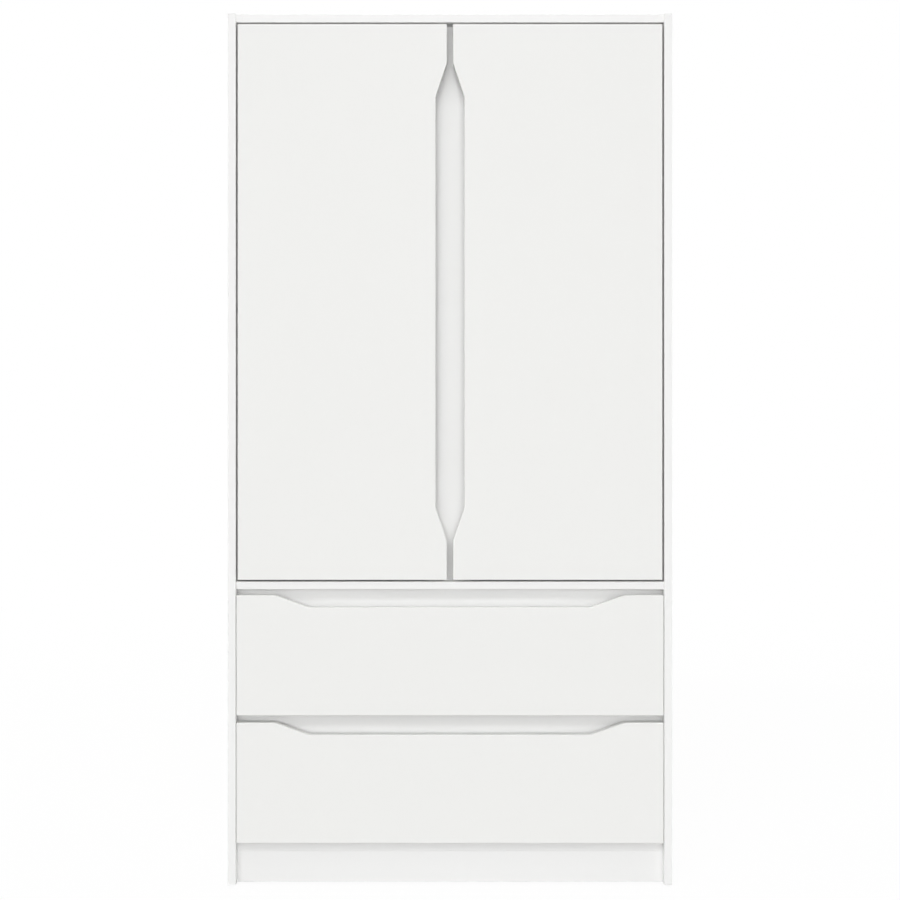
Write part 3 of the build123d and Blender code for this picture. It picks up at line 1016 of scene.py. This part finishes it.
@dataclass
class Studio:
    """A white room with soft light, one long lamp and the photograph's camera.

    Attributes:
        camera_back: distance of the camera from the wardrobe's front.
        camera_height: height of the camera.
        view_width: width that the picture shows at the wardrobe's front.
        ambient: strength of the light from all round.
        front_glow: further strength of the bright band on the walls ahead and behind.
        side_glow: further strength of the bright band on the walls at the sides.
        wall_rise: angle of the band's middle above the horizon, in degrees.
        wall_fade: angle over which the band fades to about a third, in degrees.
        wall_focus: power that narrows the band round the middle of each wall.
        ceiling_glow: further strength of the light from straight above.
        lamp_power: power of the lamp, in watts.
        lamp_distance: distance of the lamp from the wardrobe.
        lamp_turn: the lamp's angle to the left of the camera, in degrees.
        lamp_rise: the lamp's angle above the horizon, in degrees.
        lamp_size: length and height of the lamp.
        floor_size: side of the floor.
        floor_bounce: strength of the light that the floor gives back.
        floor_glow: share of the floor near the wardrobe that shows plain white to the camera.
        floor_fade: distances between which the rest of the floor turns to plain white.
    """

    camera_back: float = 2.65
    camera_height: float = 0.884
    view_width: float = 1.8225
    ambient: float = 0.2
    front_glow: float = 11.2
    side_glow: float = 9.0
    wall_rise: float = 6.0
    wall_fade: float = 8.0
    wall_focus: float = 14.0
    ceiling_glow: float = 0.9
    lamp_power: float = 82500.0
    lamp_distance: float = 200.0
    lamp_turn: float = 20.0
    lamp_rise: float = 40.0
    lamp_size: tuple[float, float] = (140.0, 6.0)
    floor_size: float = 2000.0
    floor_bounce: float = 0.3
    floor_glow: float = 0.92
    floor_fade: tuple[float, float] = (1.5, 5.0)

    SENSOR = 36.0  # width of the camera's sensor, in millimetres
    SQUARE = 2.0

    def build(self, front: float) -> None:
        """Make the camera, the room's light, the lamp and the floor.

        Args:
            front: Y of the wardrobe's front.
        """
        bpy.context.scene.view_settings.view_transform = "Standard"
        self.camera(front)
        self.world()
        self.lamp()
        self.floor()

    def camera(self, front: float) -> None:
        """A level camera, square to the wardrobe's front.

        Args:
            front: Y of the wardrobe's front.
        """
        data = bpy.data.cameras.new("camera")
        data.sensor_width = self.SENSOR
        data.lens = self.SENSOR * self.camera_back / self.view_width
        camera = put("camera", data)
        camera.location = (0.0, front - self.camera_back, self.camera_height)
        camera.rotation_euler = (math.pi / 2, 0.0, 0.0)
        bpy.context.scene.camera = camera

    @staticmethod
    def seen_directly(tree: bpy.types.NodeTree) -> bpy.types.NodeSocket:
        """A factor that is 1 for what the camera sees, also in gloss and through glass.

        Args:
            tree: the tree that gets the nodes.

        Returns:
            The factor's socket.
        """
        path = add(tree, "ShaderNodeLightPath").outputs
        gloss = add(
            tree,
            "ShaderNodeMath",
            {"operation": "MAXIMUM"},
            {0: path["Is Camera Ray"], 1: path["Is Glossy Ray"]},
        )
        seen = add(
            tree,
            "ShaderNodeMath",
            {"operation": "MAXIMUM"},
            {0: gloss.outputs["Value"], 1: path["Is Transmission Ray"]},
        )
        return seen.outputs["Value"]

    def light_level(self, tree: bpy.types.NodeTree) -> bpy.types.NodeSocket:
        """Strength of the room's light by direction: a bright band on each wall, and a paler ceiling.

        Args:
            tree: the world's tree.

        Returns:
            The strength's socket.
        """
        way = add(tree, "ShaderNodeTexCoord").outputs["Generated"]
        axes = add(tree, "ShaderNodeSeparateXYZ", inputs={"Vector": way}).outputs
        middle = math.sin(math.radians(self.wall_rise))
        end = math.sin(math.radians(self.wall_rise + self.wall_fade))
        height = add(
            tree,
            "ShaderNodeMapRange",
            {"clamp": False},
            {"Value": axes["Z"], "From Min": middle, "From Max": end},
        )
        squared = add(
            tree,
            "ShaderNodeMath",
            {"operation": "POWER"},
            {0: height.outputs["Result"], 1: self.SQUARE},
        )
        band = add(
            tree,
            "ShaderNodeMath",
            {"operation": "POWER"},
            {0: 1 / math.e, 1: squared.outputs["Value"]},
        )
        walls = 0.0
        for axis, glow in (("Y", self.front_glow), ("X", self.side_glow)):
            size = add(tree, "ShaderNodeMath", {"operation": "ABSOLUTE"}, {0: axes[axis]})
            share = add(
                tree,
                "ShaderNodeMath",
                {"operation": "POWER"},
                {0: size.outputs["Value"], 1: self.wall_focus},
            )
            total = add(
                tree,
                "ShaderNodeMath",
                {"operation": "MULTIPLY_ADD"},
                {0: share.outputs["Value"], 1: glow, 2: walls},
            )
            walls = total.outputs["Value"]
        lit = add(
            tree,
            "ShaderNodeMath",
            {"operation": "MULTIPLY_ADD"},
            {0: band.outputs["Value"], 1: walls, 2: self.ambient},
        )
        above = add(tree, "ShaderNodeMath", {"operation": "POWER"}, {0: axes["Z"], 1: self.SQUARE})
        level = add(
            tree,
            "ShaderNodeMath",
            {"operation": "MULTIPLY_ADD"},
            {0: above.outputs["Value"], 1: self.ceiling_glow, 2: lit.outputs["Value"]},
        )
        return level.outputs["Value"]

    def world(self) -> None:
        """The room's light, which the camera sees as plain white."""
        world = bpy.data.worlds.new("white_room")
        tree = blank_tree(world)
        white = linear(WHITE)
        level = self.light_level(tree)
        room = add(tree, "ShaderNodeBackground", inputs={"Color": white, "Strength": level})
        plain = add(tree, "ShaderNodeBackground", inputs={"Color": white, "Strength": 1.0})
        mix = add(
            tree,
            "ShaderNodeMixShader",
            inputs={
                0: self.seen_directly(tree),
                1: room.outputs["Background"],
                2: plain.outputs["Background"],
            },
        )
        add(tree, "ShaderNodeOutputWorld", inputs={"Surface": mix.outputs["Shader"]})
        bpy.context.scene.world = world

    def lamp(self) -> None:
        """A long narrow lamp, far off and high on the left, whose shadows are crisp under edges."""
        data = bpy.data.lights.new("lamp", "AREA")
        data.shape = "RECTANGLE"
        data.size, data.size_y = self.lamp_size
        data.energy = self.lamp_power
        turn, rise = math.radians(self.lamp_turn), math.radians(self.lamp_rise)
        way = Vector(
            (-math.sin(turn) * math.cos(rise), -math.cos(turn) * math.cos(rise), math.sin(rise))
        )
        lamp = put("lamp", data)
        lamp.location = Vector((0.0, 0.0, self.camera_height)) + way * self.lamp_distance
        lamp.rotation_euler = (-way).to_track_quat("-Z", "Y").to_euler()

    def floor(self) -> None:
        """A wide pale floor that keeps a faint shadow of the wardrobe."""
        half = self.floor_size / 2
        mesh = bpy.data.meshes.new("floor")
        corners = [(-half, -half, 0.0), (half, -half, 0.0), (half, half, 0.0), (-half, half, 0.0)]
        mesh.from_pydata(corners, [], [(0, 1, 2, 3)])
        floor = put("floor", mesh)
        material = bpy.data.materials.new("pale_floor")
        tree = blank_tree(material)
        white = linear(WHITE)
        seen = self.seen_directly(tree)
        spot = add(tree, "ShaderNodeTexCoord").outputs["Object"]
        reach = add(tree, "ShaderNodeVectorMath", {"operation": "LENGTH"}, {0: spot})
        near, far = self.floor_fade
        matt_share = add(
            tree,
            "ShaderNodeMapRange",
            {"interpolation_type": "SMOOTHSTEP"},
            {
                "Value": reach.outputs["Value"],
                "From Min": near,
                "From Max": far,
                "To Min": 1.0 - self.floor_glow,
                "To Max": 0.0,
            },
        )
        share = add(
            tree,
            "ShaderNodeMath",
            {"operation": "MULTIPLY"},
            {0: seen, 1: matt_share.outputs["Result"]},
        )
        strength = add(
            tree,
            "ShaderNodeMapRange",
            inputs={"Value": seen, "To Min": self.floor_bounce, "To Max": 1.0},
        )
        glow = add(
            tree,
            "ShaderNodeEmission",
            inputs={"Color": white, "Strength": strength.outputs["Result"]},
        )
        matt = add(tree, "ShaderNodeBsdfDiffuse", inputs={"Color": white})
        mix = add(
            tree,
            "ShaderNodeMixShader",
            inputs={0: share.outputs["Value"], 1: glow.outputs["Emission"], 2: matt.outputs["BSDF"]},
        )
        add(tree, "ShaderNodeOutputMaterial", inputs={"Surface": mix.outputs["Shader"]})
        mesh.materials.append(material)
        floor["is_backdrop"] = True


def main() -> None:
    logging.basicConfig(level=logging.INFO)
    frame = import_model()
    cad_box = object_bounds()
    nodes = frame["nodes"]
    Studio().build(cad_box[0].y)
    Carcass(nodes).build()
    Back(nodes).build()
    for side in Side:
        Door(nodes, side).build()
    for level in Level:
        Drawer(nodes, level).build()


if __name__ == "__main__":
    main()
